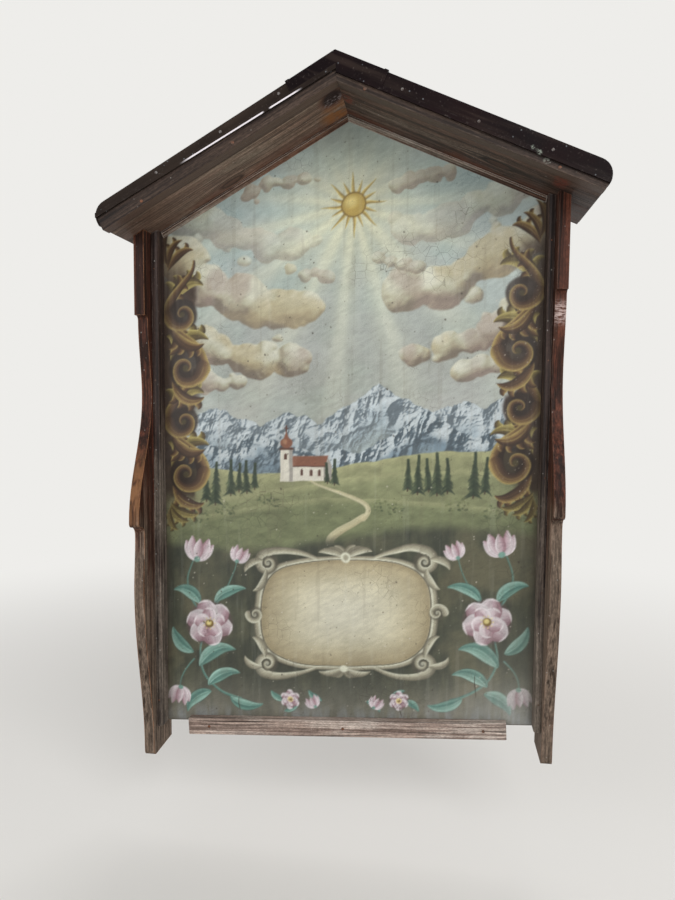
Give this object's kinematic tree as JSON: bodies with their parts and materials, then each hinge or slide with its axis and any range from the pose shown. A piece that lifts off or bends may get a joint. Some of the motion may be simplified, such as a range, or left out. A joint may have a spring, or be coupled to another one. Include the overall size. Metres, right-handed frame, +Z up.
{
  "type": "wayside shrine",
  "caption": "Gabled wooden case with a painted memorial tablet, contoured side boards and a small sheet-clad roof, made to hang on a tree.",
  "frame": {"origin": "middle of the upper back batten's rear face, which bears on the tree", "axes": "+Z up, +X to the viewer's right, +Y into the tree, so the front looks along -Y"},
  "size_m": [0.4776, 0.1465, 0.7125],
  "materials": {
    "back_wood": "rough sawn, weathered",
    "red_wood": "reddish stain, worn and greyed at the foot",
    "stained_wood": "dark brown stain, weathered",
    "pale_wood": "bare, pinkish grey, weathered",
    "tablet_paint": "painted board, satin varnish, aged",
    "sheet_metal": "dark purplish brown, dull"
  },
  "bodies": {
    "root": {"back_batten_upper": "back_wood", "back_batten_lower": "back_wood", "back_board_1": "back_wood", "back_board_2": "back_wood", "back_board_3": "back_wood", "back_board_4": "back_wood", "back_board_5": "back_wood", "tablet": "tablet_paint", "side_board_left": "red_wood", "side_board_right": "red_wood", "bead_left": "stained_wood", "bead_right": "stained_wood", "gable_bead_left": "stained_wood", "gable_bead_right": "stained_wood", "bottom_rail": "pale_wood", "roof_board_left": "stained_wood", "roof_board_right": "stained_wood", "bargeboard_left": "stained_wood", "bargeboard_right": "stained_wood", "roof_sheet_left": "sheet_metal", "roof_sheet_right": "sheet_metal", "ridge_cap": "sheet_metal"}
  },
  "joints": []
}
